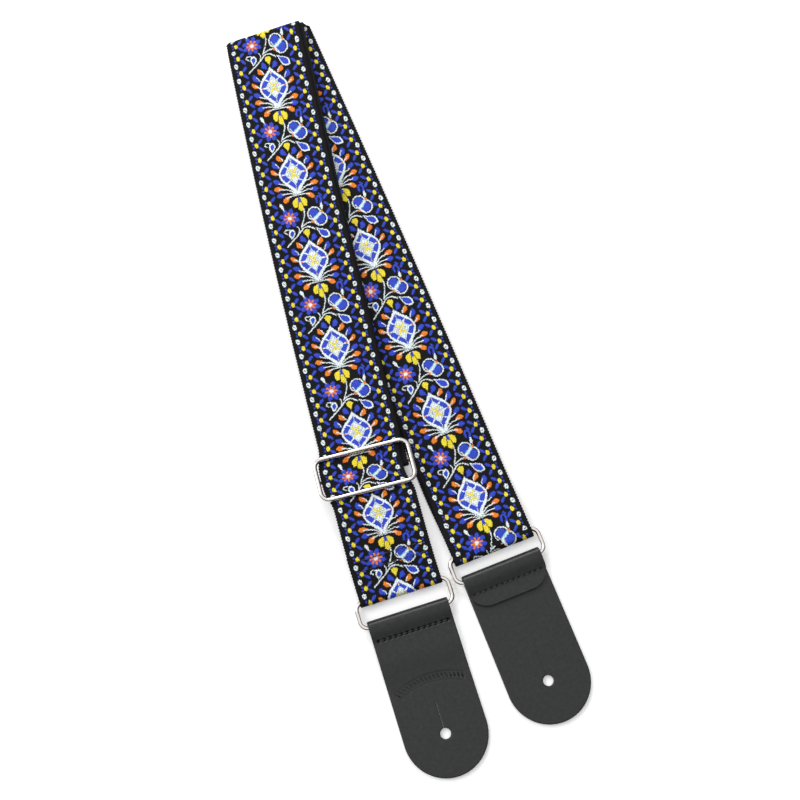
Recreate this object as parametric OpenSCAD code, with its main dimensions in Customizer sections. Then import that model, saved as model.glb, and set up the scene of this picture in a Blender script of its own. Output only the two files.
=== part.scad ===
// Guitar strap, lying folded once: woven webbing, wire slider, two wire rings, two leather end tabs.
// Frame: origin at the front tab's button hole on the table plane, +Y along that tab towards the
// fold, +Z up. "Front" is the adjustable leg that lies on top, "rear" is the doubled leg below it.

/* [Webbing] */
// Width of the webbing
web_w = 50.8; // [38:0.2:60]
// Thickness of the webbing
web_t = 1.6; // [1.2:0.1:2]
// Gap between webbing layers that lie on each other
layer_gap = 0.25; // [0.2:0.05:0.4]
// Length of the front leg, from its ring's bar to the fold
front_leg_len = 377; // [300:1:460]
// Length of the rear leg, from its ring's bar to the fold
rear_leg_len = 367; // [290:1:450]
// Length of webbing turned under and sewn at each of its two ends
hem_len = 27; // [22:1:36]

/* [Hardware] */
// Diameter of the wire that the rings and the slider's frame are bent from
wire_d = 2.8; // [2:0.1:3.5]
// Diameter of the slider's middle bar
slider_bar_d = 2.4; // [2:0.1:3]
// Side play between the webbing and each ring
ring_side_play = 1.5; // [0.5:0.1:2.5]
// Side play between the webbing and the slider
slider_side_play = 2; // [1.5:0.1:3]
// Distance between the centres of a ring's two long bars
ring_pitch = 15.6; // [14:0.1:20]
// Distance between the centres of the slider's two long bars
slider_pitch = 25.2; // [20:0.1:32]
// Bend radius of the wire's centre line at the rings' corners
ring_corner_r = 4.6; // [3:0.1:6]
// Bend radius of the wire's centre line at the slider's corners
slider_corner_r = 5; // [3:0.1:7]
// Distance from the front ring's bar to the slider's middle
slider_at = 74; // [70:1:120]

/* [Tabs] */
// Thickness of the leather
leather_t = 2.5; // [2:0.1:3.2]
// Width of a tab where it passes round its ring
tab_w = 49.4; // [36:0.2:58]
// Radius of a tab's round end, centred on the button hole
tab_end_r = 24.8; // [20:0.1:29]
// Distance from a ring's bar to the button hole
tab_reach = 70; // [60:1:90]
// Radius of a button hole
hole_r = 3.1; // [2.5:0.1:4]
// Length of the slit that lets a button's head through
slit_len = 15.5; // [10:0.5:20]
// Width of that slit
slit_w = 0.5; // [0.3:0.1:1]
// Length of leather turned over the ring and sewn back
flap_len = 18.5; // [17:0.5:30]
// Distance from a ring's bar to the tab's row of stitches
seam_at = 9; // [7:0.5:12]

/* [Hidden] */
$fn = 48;

// Clearances
bar_play = 0.05;        // radial play of a bar in its loop
bar_under_web = 0.15;   // height of the slider's bars over the webbing that slides below them
slider_clear = 0.35;    // between the rear leg's upper layer and the webbing round the slider's bar
hem_gap = 0.1;          // between a hem and the run that it is sewn to
thread_r = 0.35;
stitch_pitch = 3.5;

// Bars and loops: every ring lies flat at the height its leather wrap gives it
wire_r = wire_d / 2;
bore_r = wire_r + bar_play;
bar_z = leather_t + bore_r;
loop_out_r = bore_r + web_t;
slider_bore_r = slider_bar_d / 2 + bar_play;

// Heights of each layer's lower face
rear_z = 0;
return_z = rear_z + web_t + layer_gap;
slider_bar_z = return_z + web_t + slider_clear + web_t + slider_bore_r;
under_z = slider_bar_z + slider_bore_r;
front_z = under_z + web_t + layer_gap;
frame_z = front_z + web_t + bar_under_web + wire_r;

// Plan of the two legs: headings in degrees, clockwise from +Y
front_turn = 2;
front_bow = 3.4;
rear_bow = -1.4;
settle_len = 45;
front_bar = [0, tab_reach + ring_pitch];
ring_gap = 0.9;         // between the two rings, side by side
fold_shift = [7.33, 0.36]; // how far the rear leg's end lies to the right of the front leg's, and short of it
rear_offset = -1.4;
under_offset_fold = 3;
under_offset_slider = 0.4;
run_steps = 44;
fold_steps = 20;

// Ring and slider sizes
ring_in_w = max(web_w, tab_w) + 2 * ring_side_play;
slider_in_w = web_w + 2 * slider_side_play;

webbing_colour = [0.11, 0.11, 0.16];
leather_colour = [0.2, 0.2, 0.2];
nickel_colour = [0.78, 0.76, 0.73];
thread_colour = [0.05, 0.05, 0.05];

function smooth(u) = let (c = max(0, min(1, u))) c * c * (3 - 2 * c);
function mix(a, b, u) = a + (b - a) * u;

// Headings along each leg, s measured from the ring's bar
function front_heading(s) = front_turn * smooth(s / settle_len) + front_bow * s / front_leg_len;
function rear_heading_at(s) = rear_heading + rear_bow * s / rear_leg_len;

// Lower faces along each leg
loop_top = bar_z + bore_r;
loop_low = bar_z - loop_out_r;
function front_low(s) = mix(loop_top, front_z, smooth(s / settle_len));
function return_low(s) = mix(loop_top, return_z, smooth(s / settle_len));
function rear_low(s) = mix(loop_low, rear_z, smooth(s / settle_len));

// Centre line: [x, y, heading, s] at equal steps
function walk(start, length, steps, way) = let (ds = length / steps) [
    for (
        i = 0, x = start[0], y = start[1];
        i <= steps;
        h = way == "front" ? front_heading((i + 0.5) * ds) : rear_heading_at((i + 0.5) * ds),
        x = x + ds * sin(h), y = y + ds * cos(h), i = i + 1
    ) [x, y, way == "front" ? front_heading(i * ds) : rear_heading_at(i * ds), i * ds]
];
front_line = walk(front_bar, front_leg_len, run_steps, "front");
front_end = front_line[run_steps];
// The rear leg starts beside the front ring and is aimed at the front leg's end
rear_bar_x = ring_in_w + 2 * wire_d + ring_gap;
rear_aim = asin((front_end[0] + fold_shift[0] - rear_bar_x) / rear_leg_len);
rear_heading = rear_aim - rear_bow / 2;
rear_bar = [rear_bar_x, front_end[1] - fold_shift[1] - rear_leg_len * cos(rear_aim)];
rear_line = walk(rear_bar, rear_leg_len, run_steps, "rear");
rear_end = rear_line[run_steps];

// A station is [centre of the section, unit vector across, unit vector out of the face]
function across(h) = [cos(h), -sin(h), 0];
function station(p, offset, low) =
    [[p[0], p[1], low + web_t / 2] + offset * across(p[2]), across(p[2]), [0, 0, 1]];
function corners(st) = [
    st[0] - web_w / 2 * st[1] - web_t / 2 * st[2],
    st[0] + web_w / 2 * st[1] - web_t / 2 * st[2],
    st[0] + web_w / 2 * st[1] + web_t / 2 * st[2],
    st[0] - web_w / 2 * st[1] + web_t / 2 * st[2],
];

// Closed ribbon through a list of stations
module ribbon(stations) {
    last = len(stations) - 1;
    points = [for (st = stations) each corners(st)];
    sides = [
        for (i = [0:last - 1], k = [0:3])
            let (a = 4 * i + k, b = 4 * i + (k + 1) % 4)
            each [[a, a + 4, b], [b, a + 4, b + 4]]
    ];
    caps = [[0, 1, 2], [0, 2, 3], [4 * last + 2, 4 * last + 1, 4 * last], [4 * last + 3, 4 * last + 2, 4 * last]];
    polyhedron(points = points, faces = concat(sides, caps), convexity = 4);
}

// Frames of the two rings, the slider and the fold
front_ring_frame = [front_bar[0], front_bar[1], 0];
rear_ring_frame = [rear_bar[0], rear_bar[1], rear_heading];
slider_index = slider_at / front_leg_len * run_steps;
slider_low = floor(slider_index);
slider_on_leg = mix(front_line[slider_low], front_line[slider_low + 1], slider_index - slider_low);
slider_shift = -1.3;    // the slider lies a little to the left of the webbing in it
slider_mid = concat(
    [slider_on_leg[0], slider_on_leg[1]] + slider_shift * [cos(slider_on_leg[2]), -sin(slider_on_leg[2])],
    [slider_on_leg[2], slider_on_leg[3]]
);
loop_shift = under_offset_slider - slider_shift;
slider_travel_mid = 32;
slider_heading = front_heading(slider_at + slider_travel_mid);

module at_frame(frame) {
    translate([frame[0], frame[1], 0]) rotate([0, 0, -frame[2]]) children();
}

// Room for a ring's bar and its bent corners to turn in: the bore flares out at both ends
flare_steps = 8;
module corner_flare() {
    flat_half = (ring_in_w + wire_d) / 2 - ring_corner_r;
    flare_len = max(bar_play, max(web_w, tab_w) / 2 - flat_half);
    reach = ring_corner_r - bore_r;
    curve = [
        for (i = [1:flare_steps])
            let (x = flare_len * i / flare_steps) [ring_corner_r - sqrt(reach * reach - x * x), flat_half + x]
    ];
    outer = flat_half + flare_len + wire_d;
    for (m = [0, 1]) mirror([m, 0, 0]) rotate([0, 90, 0]) rotate_extrude() polygon(concat(
        [[0, flat_half], [wire_r, flat_half]], curve, [[curve[flare_steps - 1][0], outer], [0, outer]]
    ));
}
module clear_of_ring(frame) {
    difference() {
        children();
        at_frame(frame) translate([0, 0, bar_z]) corner_flare();
    }
}

// Webbing that turns round a bar and comes back below itself. Profile in [distance up the leg, z]
module loop_profile(r_in, r_out) {
    difference() {
        circle(r = r_out);
        circle(r = r_in);
        translate([0, -2 * r_out]) square([2 * r_out, 4 * r_out]);
    }
}
module extrude_across(width) {
    rotate([90, 0, 90]) translate([0, 0, -width / 2]) linear_extrude(height = width) children();
}
// Hem below a run: rises from the loop's lower side to just under the run
hem_rise = 14;
hem_steps = 12;
module hem(z_bar, r_in, top_low, length) {
    start = z_bar - r_in - web_t;
    lows = [
        for (i = [0:hem_steps])
            let (s = length * i / hem_steps)
            [s, mix(start, top_low[i] - hem_gap - web_t, smooth(s / hem_rise))]
    ];
    tops = [for (i = [hem_steps:-1:0]) lows[i] + [0, web_t]];
    polygon(concat(lows, tops));
}

// A long run starts where the straight stub of its loop ends
stub_len = 4;
run_gap = 0.1;
function run_points(line, length) = concat(
    [mix(line[0], line[1], (stub_len + run_gap) * run_steps / length)], [for (i = [1:run_steps]) line[i]]
);
module webbing_front_run() {
    color(webbing_colour)
        ribbon([for (p = run_points(front_line, front_leg_len)) station(p, 0, front_low(p[3]))]);
}
// The stub above a bar, as a profile in [distance up the leg, z]
module stub(low_start, low_end) {
    polygon([[0, low_start], [stub_len, low_end], [stub_len, low_end + web_t], [0, low_start + web_t]]);
}
module webbing_front_loop() {
    lows = [for (i = [0:hem_steps]) front_low(hem_len * i / hem_steps)];
    color(webbing_colour) clear_of_ring(front_ring_frame) at_frame(front_ring_frame) extrude_across(web_w) {
        translate([0, bar_z]) loop_profile(bore_r, loop_out_r);
        stub(front_low(0), front_low(stub_len));
        hem(bar_z, bore_r, lows, hem_len);
    }
}
// The under run starts where the sewn stretch at the slider ends
sewn_len = hem_len + 1;
sewn_end = slider_at + sewn_len;
under_first = ceil(sewn_end / front_leg_len * run_steps + 0.5);
module webbing_under_run() {
    start = [
        slider_mid[0] + (sewn_len + run_gap) * sin(slider_heading),
        slider_mid[1] + (sewn_len + run_gap) * cos(slider_heading), slider_heading
    ];
    rest = [
        for (i = [under_first:run_steps])
            let (p = front_line[i], u = (p[3] - sewn_end) / (front_leg_len - sewn_end))
            station(p, mix(under_offset_slider, under_offset_fold, u), under_z)
    ];
    color(webbing_colour) ribbon(concat([station(start, loop_shift, under_z)], rest));
}
module slider_place() {
    at_frame([slider_mid[0], slider_mid[1], slider_heading]) children();
}
module webbing_slider_loop() {
    lows = [for (i = [0:hem_steps]) under_z];
    color(webbing_colour) slider_place() translate([loop_shift, 0, 0]) extrude_across(web_w) {
        translate([0, slider_bar_z]) loop_profile(slider_bore_r, slider_bore_r + web_t);
        hem(slider_bar_z, slider_bore_r, lows, hem_len);
        translate([0, under_z]) square([sewn_len, web_t]);
    }
}

// Half-turn at the fold, from the end of one leg's layer to the end of the other's
function turn_stations(top, low) = let (r = (top[0][2] - low[0][2]) / 2) [
    for (i = [0:fold_steps])
        let (
            a = -90 + 180 * i / fold_steps,
            u = i / fold_steps,
            base = mix(low[0], top[0], u),
            side = mix(low[1], top[1], u),
            unit = side / norm(side),
            ahead = [-unit[1], unit[0], 0]
        )
        [
            [base[0], base[1], mix(low[0][2], top[0][2], 0.5) + r * sin(a)] + r * cos(a) * ahead,
            unit, cos(a) * ahead + [0, 0, sin(a)]
        ]
];
module webbing_fold_outer() {
    color(webbing_colour)
        ribbon(turn_stations(station(front_end, 0, front_z), station(rear_end, rear_offset, rear_z)));
}
module webbing_fold_inner() {
    color(webbing_colour)
        ribbon(turn_stations(
            station(front_end, under_offset_fold, under_z), station(rear_end, 0, return_z)
        ));
}
module webbing_rear_run() {
    color(webbing_colour) ribbon([
        for (p = run_points(rear_line, rear_leg_len))
            station(p, rear_offset * smooth(p[3] / settle_len), rear_low(p[3]))
    ]);
}
module webbing_return_run() {
    color(webbing_colour)
        ribbon([for (p = run_points(rear_line, rear_leg_len)) station(p, 0, return_low(p[3]))]);
}
module webbing_rear_loop() {
    color(webbing_colour) clear_of_ring(rear_ring_frame) at_frame(rear_ring_frame) extrude_across(web_w) {
        translate([0, bar_z]) loop_profile(bore_r, loop_out_r);
        stub(return_low(0), return_low(stub_len));
        stub(rear_low(0), rear_low(stub_len));
    }
}

// Closed wire rectangle lying flat, centre line width x length
module wire_frame(width, length, corner_r) {
    for (m = [0, 1]) mirror([m, 0, 0]) {
        translate([width / 2, 0, 0]) rotate([90, 0, 0])
            cylinder(h = length - 2 * corner_r, r = wire_r, center = true);
        for (k = [0, 1]) mirror([0, k, 0])
            translate([width / 2 - corner_r, length / 2 - corner_r, 0])
                rotate_extrude(angle = 90) translate([corner_r, 0]) circle(r = wire_r);
    }
    for (k = [0, 1]) mirror([0, k, 0])
        translate([0, length / 2, 0]) rotate([0, 90, 0])
            cylinder(h = width - 2 * corner_r, r = wire_r, center = true);
}
module ring() {
    translate([0, -ring_pitch / 2, bar_z]) wire_frame(ring_in_w + wire_d, ring_pitch, ring_corner_r);
}
module front_ring() {
    color(nickel_colour) at_frame(front_ring_frame) ring();
}
module rear_ring() {
    color(nickel_colour) at_frame(rear_ring_frame) ring();
}
module slider_frame() {
    color(nickel_colour) slider_place() translate([0, 0, frame_z])
        wire_frame(slider_in_w + wire_d, slider_pitch, slider_corner_r);
}
// The middle bar drops below the webbing that slides over it, and its ends meet the frame's sides
module slider_bar() {
    half = (slider_in_w + wire_d) / 2;
    bend_r = 0.75 * slider_bar_d;
    color(nickel_colour) slider_place() difference() {
        union() {
            translate([0, 0, slider_bar_z]) rotate([0, 90, 0])
                cylinder(h = 2 * (half - bend_r), d = slider_bar_d, center = true);
            for (m = [0, 1]) mirror([m, 0, 0]) {
                translate([half - bend_r, 0, slider_bar_z + bend_r]) rotate([90, 0, 0])
                    rotate_extrude(angle = -90) translate([bend_r, 0]) circle(d = slider_bar_d);
                translate([half, 0, slider_bar_z + bend_r])
                    cylinder(h = frame_z - slider_bar_z - bend_r, d = slider_bar_d);
            }
        }
        translate([0, 0, frame_z]) for (m = [-1, 1]) translate([m * half, 0, 0]) rotate([90, 0, 0])
            cylinder(h = 4 * wire_d, r = wire_r, center = true);
    }
}

// Leather tab, its ring's lower bar at the local origin and the button hole at -Y
rest_at = 12;
drop_len = 20;
flap_lead = 1;
function wrap_low(u) = mix(bore_r + bar_z, leather_t, smooth(u / rest_at));
function over_flap_low(u) = mix(wrap_low(u), 0, smooth((u - flap_len - flap_lead) / drop_len));
profile_steps = 24;
tab_len = tab_reach + tab_end_r;
module wrap_shell() {
    translate([0, bar_z]) difference() {
        circle(r = bore_r + leather_t);
        circle(r = bore_r);
        translate([-2 * bar_z, -2 * bar_z]) square([2 * bar_z, 4 * bar_z]);
    }
}
module curved_sheet(lows) {
    tops = [for (i = [len(lows) - 1:-1:0]) lows[i] + [0, leather_t]];
    polygon(concat(lows, tops));
}
module tab_outline() {
    hull() {
        translate([0, -tab_reach]) circle(r = tab_end_r, $fn = 96);
        translate([-tab_w / 2, -1]) square([tab_w, 1]);
    }
    translate([-tab_w / 2, -1]) square([tab_w, 2 * bar_z]);
}
flap_corner_r = 12;
module flap_outline() {
    translate([-tab_w / 2, flap_corner_r - flap_len]) square([tab_w, flap_len]);
    translate([flap_corner_r - tab_w / 2, -flap_len]) square([tab_w - 2 * flap_corner_r, flap_len]);
    for (m = [-1, 1]) translate([m * (tab_w / 2 - flap_corner_r), flap_corner_r - flap_len])
        circle(r = flap_corner_r);
}
module tab_cuts() {
    translate([0, -tab_reach, -1]) cylinder(h = 4 * leather_t, r = hole_r);
    translate([-slit_w / 2, -tab_reach, -1]) cube([slit_w, slit_len + hole_r, 4 * leather_t]);
}
module front_tab_shape() {
    main = [
        for (i = [0:profile_steps])
            let (u = (flap_len + flap_lead + drop_len) * i / profile_steps) [-u, over_flap_low(u)]
    ];
    difference() {
        union() {
            intersection() {
                extrude_across(2 * tab_end_r) {
                    wrap_shell();
                    curved_sheet(concat(main, [[-tab_len, 0]]));
                }
                linear_extrude(height = 4 * bar_z) tab_outline();
            }
            linear_extrude(height = leather_t) intersection() {
                flap_outline();
                translate([-tab_end_r, -tab_len]) square([2 * tab_end_r, tab_len]);
            }
        }
        tab_cuts();
        translate([0, 0, bar_z]) corner_flare();
    }
}
module rear_tab_shape() {
    flap = [
        for (i = [0:profile_steps])
            let (u = flap_len * i / profile_steps) [-u, wrap_low(u)]
    ];
    difference() {
        union() {
            intersection() {
                extrude_across(2 * tab_end_r) {
                    wrap_shell();
                    translate([-tab_len, 0]) square([tab_len, leather_t]);
                }
                linear_extrude(height = 4 * bar_z) tab_outline();
            }
            intersection() {
                extrude_across(2 * tab_end_r) curved_sheet(flap);
                linear_extrude(height = 4 * bar_z) flap_outline();
            }
        }
        tab_cuts();
        translate([0, 0, bar_z]) corner_flare();
    }
}
module front_tab_place() {
    at_frame(front_ring_frame) translate([0, -ring_pitch, 0]) children();
}
module rear_tab_place() {
    at_frame(rear_ring_frame) translate([0, -ring_pitch, 0]) children();
}
module front_tab() {
    color(leather_colour) front_tab_place() front_tab_shape();
}
module rear_tab() {
    color(leather_colour) rear_tab_place() rear_tab_shape();
}

// A row of lock stitches across the strap: thread on both faces and through each hole
stitch_margin = 3;
module stitch_row(width, low, high) {
    count = floor((width - 2 * stitch_margin) / stitch_pitch);
    span = count * stitch_pitch;
    for (z = [low, high]) translate([0, 0, z]) rotate([0, 90, 0])
        cylinder(h = span, r = thread_r, center = true, $fn = 16);
    for (i = [0:count]) translate([i * stitch_pitch - span / 2, 0, low])
        cylinder(h = high - low, r = thread_r, $fn = 16);
}
module front_tab_stitching() {
    color(thread_colour) front_tab_place() translate([0, -seam_at, 0])
        stitch_row(tab_w, thread_r, wrap_low(seam_at) + leather_t);
}
module rear_tab_stitching() {
    color(thread_colour) rear_tab_place() translate([0, -seam_at, 0])
        stitch_row(tab_w, thread_r, wrap_low(seam_at) + leather_t);
}
hem_rows = [hem_len - 10, hem_len - 4]; // distances of the two rows of stitches from the bar
module front_hem_stitching() {
    color(thread_colour) at_frame(front_ring_frame) for (s = hem_rows) translate([0, s, 0])
        stitch_row(web_w, front_low(s) - hem_gap - web_t, front_low(s) + web_t);
}
module slider_hem_stitching() {
    color(thread_colour) slider_place() translate([loop_shift, 0, 0])
        for (s = hem_rows) translate([0, s, 0])
            stitch_row(web_w, under_z - hem_gap - web_t + thread_r, under_z + web_t - thread_r);
}

webbing_front_run();
webbing_front_loop();
webbing_under_run();
webbing_slider_loop();
webbing_fold_outer();
webbing_fold_inner();
webbing_rear_run();
webbing_return_run();
webbing_rear_loop();
slider_frame();
slider_bar();
front_ring();
rear_ring();
front_tab();
rear_tab();
front_tab_stitching();
rear_tab_stitching();
front_hem_stitching();
slider_hem_stitching();
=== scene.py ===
"""Looks of the guitar strap: woven webbing, nickel wire hardware, leather tabs and stitching.

All shapes are worked out in millimetres in the CAD frame and scaled to metres when a mesh is made.
Headings are in degrees, clockwise from +Y. "Front" is the leg on top, "rear" the doubled leg below.
"""
import math

import bmesh
import bpy
import numpy as np
from mathutils import Matrix, Vector


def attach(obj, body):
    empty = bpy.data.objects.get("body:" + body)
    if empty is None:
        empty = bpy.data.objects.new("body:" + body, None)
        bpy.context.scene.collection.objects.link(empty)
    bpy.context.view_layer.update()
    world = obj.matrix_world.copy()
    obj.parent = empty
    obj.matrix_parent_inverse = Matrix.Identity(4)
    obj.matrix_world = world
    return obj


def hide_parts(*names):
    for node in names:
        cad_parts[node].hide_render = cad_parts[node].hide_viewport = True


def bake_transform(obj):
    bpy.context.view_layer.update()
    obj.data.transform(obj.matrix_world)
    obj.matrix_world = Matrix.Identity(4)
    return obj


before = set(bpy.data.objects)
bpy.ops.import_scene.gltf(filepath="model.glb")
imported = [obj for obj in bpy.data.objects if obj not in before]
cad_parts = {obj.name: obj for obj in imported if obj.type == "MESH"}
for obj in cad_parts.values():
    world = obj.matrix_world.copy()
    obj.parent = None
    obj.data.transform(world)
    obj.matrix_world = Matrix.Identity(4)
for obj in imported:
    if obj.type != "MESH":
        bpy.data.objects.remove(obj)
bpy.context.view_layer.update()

MM = 0.001

# ---------------------------------------------------------------- sizes shared with the CAD model
WEB_W = 50.8
WEB_T = 1.6
HEM_GAP = 0.1
FRONT_LEN = 377.0
REAR_LEN = 367.0
HEM_LEN = 27.0
SEWN_LEN = 28.0
SETTLE = 45.0
HEM_RISE = 14.0
WIRE_R = 1.4
BORE_R = 1.45
BAR_Z = 3.95
SLIDER_BORE_R = 1.25
SLIDER_BAR_R = 1.2
SLIDER_BEND = 1.5
SLIDER_BAR_Z = 6.65
RETURN_Z = 1.85
UNDER_Z = 7.9
FRONT_Z = 9.75
FRAME_Z = 12.9
RING_IN_W = 53.8
RING_PITCH = 15.6
RING_CORNER_R = 4.6
SLIDER_IN_W = 54.8
SLIDER_PITCH = 25.2
SLIDER_CORNER_R = 5.0
SLIDER_AT = 74.0
SLIDER_TRAVEL_MID = 32.0
SLIDER_SHIFT = -1.3
FRONT_BAR = (0.0, 85.6)
REAR_BAR = (60.3, 95.6)
FRONT_TURN = 2.0
FRONT_BOW = 3.4
REAR_HEADING = -3.9
REAR_BOW = -1.4
REAR_OFFSET = -1.4
UNDER_OFFSET_FOLD = 3.0
UNDER_OFFSET_SLIDER = 0.4
LOOP_SHIFT = UNDER_OFFSET_SLIDER - SLIDER_SHIFT
LEATHER_T = 2.5
TAB_W = 49.4
TAB_END_R = 24.8
TAB_REACH = 70.0
HOLE_R = 3.1
SLIT_LEN = 15.5
FLAP_LEN = 18.5
FLAP_CORNER_R = 12.0
SEAM_AT = 9.0
REST_AT = 12.0
DROP_LEN = 20.0
FLAP_LEAD = 1.0
STITCH_PITCH = 3.5
STITCH_MARGIN = 3.0
HEM_ROWS = (17.0, 23.0)
FAR = 1e9
TINY = 1e-9


def smooth(u):
    c = np.clip(u, 0, 1)
    return c * c * (3 - 2 * c)


def mix(a, b, u):
    return a + (b - a) * u


def front_heading(s):
    return FRONT_TURN * smooth(s / SETTLE) + FRONT_BOW * s / FRONT_LEN


def rear_heading(s):
    return REAR_HEADING + REAR_BOW * s / REAR_LEN


def front_low(s):
    return mix(BAR_Z + BORE_R, FRONT_Z, smooth(s / SETTLE))


def return_low(s):
    return mix(BAR_Z + BORE_R, RETURN_Z, smooth(s / SETTLE))


def rear_low(s):
    return mix(BAR_Z - BORE_R - WEB_T, 0, smooth(s / SETTLE))


def across(heading):
    h = np.radians(heading)
    return np.stack([np.cos(h), -np.sin(h), np.zeros_like(h)], -1)


def forward(heading):
    h = np.radians(heading)
    return np.stack([np.sin(h), np.cos(h), np.zeros_like(h)], -1)


def centre_line(start, heading, s):
    """Points of a leg's centre line at the distances s from its ring's bar."""
    fine = np.linspace(0, s.max(), 1500)
    middle = (fine[1:] + fine[:-1]) / 2
    steps = forward(heading(middle)) * np.diff(fine)[:, None]
    walked = np.vstack([np.zeros(3), np.cumsum(steps, 0)])
    walked[:, :2] += start
    return np.stack([np.interp(s, fine, walked[:, k]) for k in range(3)], -1)


# ---------------------------------------------------------------- camera, floor and light
CAMERA_AT = Vector((-26.8, 2.2, 745.0))
CAMERA_TILT = 15.4
CAMERA_ROLL = 17.6
SENSOR = 36.0
FOCAL = 56.25
FLOOR_SIZE = 4.0
FLOOR_AT = (0.03, 0.2, -0.0002)
PAPER_GLOW = 0.22
# The room is dark low down and opens into one wide softbox overhead
WORLD_LIGHT = 1.08
SOFTBOX_AXIS = (-0.12, 0.36, 1.0)
SOFTBOX_EDGE = (0.48, 0.68)
ROOM_DARK = (0.02, 0.014, 0.012, 1)


def link(obj):
    bpy.context.scene.collection.objects.link(obj)


def make_camera():
    data = bpy.data.cameras.new("camera")
    data.sensor_width = SENSOR
    data.lens = FOCAL
    data.clip_start = 0.01
    data.dof.use_dof = False
    camera = bpy.data.objects.new("camera", data)
    turn = Matrix.Rotation(math.radians(-CAMERA_ROLL), 4, "Z")
    tilt = Matrix.Rotation(math.radians(CAMERA_TILT), 4, "X")
    camera.matrix_world = Matrix.Translation(CAMERA_AT * MM) @ turn @ tilt
    link(camera)
    bpy.context.scene.camera = camera


def make_floor(material):
    bm = bmesh.new()
    bmesh.ops.create_grid(bm, x_segments=8, y_segments=8, size=FLOOR_SIZE / 2)
    mesh = bpy.data.meshes.new("floor")
    bm.to_mesh(mesh)
    bm.free()
    mesh.materials.append(material)
    floor = bpy.data.objects.new("floor", mesh)
    floor.location = FLOOR_AT
    link(floor)


def area_light(name, at, aim, size, watts):
    data = bpy.data.lights.new(name, "AREA")
    data.shape = "DISK"
    data.size = size
    data.energy = watts
    light = bpy.data.objects.new(name, data)
    light.location = at
    light.rotation_euler = (Vector(aim) - Vector(at)).to_track_quat("-Z", "Y").to_euler()
    link(light)


def make_world():
    world = bpy.data.worlds.new("studio")
    world.use_nodes = True
    tree = world.node_tree
    back = tree.nodes["Background"]
    coords = tree.nodes.new("ShaderNodeTexCoord")
    toward = tree.nodes.new("ShaderNodeVectorMath")
    toward.operation = "DOT_PRODUCT"
    toward.inputs[1].default_value = SOFTBOX_AXIS
    ramp = tree.nodes.new("ShaderNodeValToRGB")
    tree.links.new(coords.outputs["Generated"], toward.inputs[0])
    tree.links.new(toward.outputs["Value"], ramp.inputs[0])
    tree.links.new(ramp.outputs[0], back.inputs["Color"])
    for stop, position, colour in zip(ramp.color_ramp.elements, SOFTBOX_EDGE, (ROOM_DARK, (1, 1, 1, 1))):
        stop.position = position
        stop.color = colour
    back.inputs["Strength"].default_value = WORLD_LIGHT
    bpy.context.scene.world = world


# ---------------------------------------------------------------- materials
class Shader:
    """Small helper that builds one Principled material node by node."""

    def __init__(self, name, roughness=0.5, metallic=0.0, sheen=0.0, sheen_roughness=0.5, specular=0.5):
        self.material = bpy.data.materials.new(name)
        self.material.use_nodes = True
        self.tree = self.material.node_tree
        self.shader = self.tree.nodes["Principled BSDF"]
        self.set("Roughness", roughness)
        self.set("Metallic", metallic)
        self.set("Sheen Weight", sheen)
        self.set("Sheen Roughness", sheen_roughness)
        self.set("Specular IOR Level", specular)

    def set(self, socket, value):
        if hasattr(value, "is_output"):
            self.tree.links.new(value, self.shader.inputs[socket])
        else:
            self.shader.inputs[socket].default_value = value

    def node(self, kind, **settings):
        made = self.tree.nodes.new(kind)
        for key, value in settings.items():
            setattr(made, key, value)
        return made

    def feed(self, socket, value):
        if hasattr(value, "is_output"):
            self.tree.links.new(value, socket)
        elif value is not None:
            socket.default_value = value

    def math(self, operation, a, b=None):
        made = self.node("ShaderNodeMath", operation=operation)
        self.feed(made.inputs[0], a)
        self.feed(made.inputs[1], b)
        return made.outputs[0]

    def mix(self, factor, a, b, blend="MIX"):
        made = self.node("ShaderNodeMix", data_type="RGBA", blend_type=blend)
        self.feed(made.inputs["Factor"], factor)
        self.feed(made.inputs[6], a)
        self.feed(made.inputs[7], b)
        return made.outputs[2]

    def attribute(self, name):
        return self.node("ShaderNodeAttribute", attribute_name=name)

    def split(self, vector):
        made = self.node("ShaderNodeSeparateXYZ")
        self.feed(made.inputs[0], vector)
        return made.outputs

    def place(self):
        return self.node("ShaderNodeTexCoord").outputs["Object"]

    def noise(self, scale, detail=3.0, rough=0.5):
        made = self.node("ShaderNodeTexNoise")
        self.feed(made.inputs["Vector"], self.place())
        made.inputs["Scale"].default_value = scale
        made.inputs["Detail"].default_value = detail
        made.inputs["Roughness"].default_value = rough
        return made.outputs["Fac"]

    def wave(self, value, pitch):
        """Sine of a length in metres, one wave for each pitch in millimetres."""
        turns = self.math("MULTIPLY", value, 2 * math.pi / (pitch * MM))
        return self.math("SINE", turns)

    def scaled(self, value, gain, offset=0.0):
        return self.math("ADD", self.math("MULTIPLY", value, gain), offset)

    def bump(self, height, depth, strength=1.0):
        made = self.node("ShaderNodeBump")
        made.inputs["Strength"].default_value = strength
        made.inputs["Distance"].default_value = depth * MM
        self.feed(made.inputs["Height"], height)
        return made.outputs["Normal"]


def grey(value):
    return (value, value, value, 1)


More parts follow.
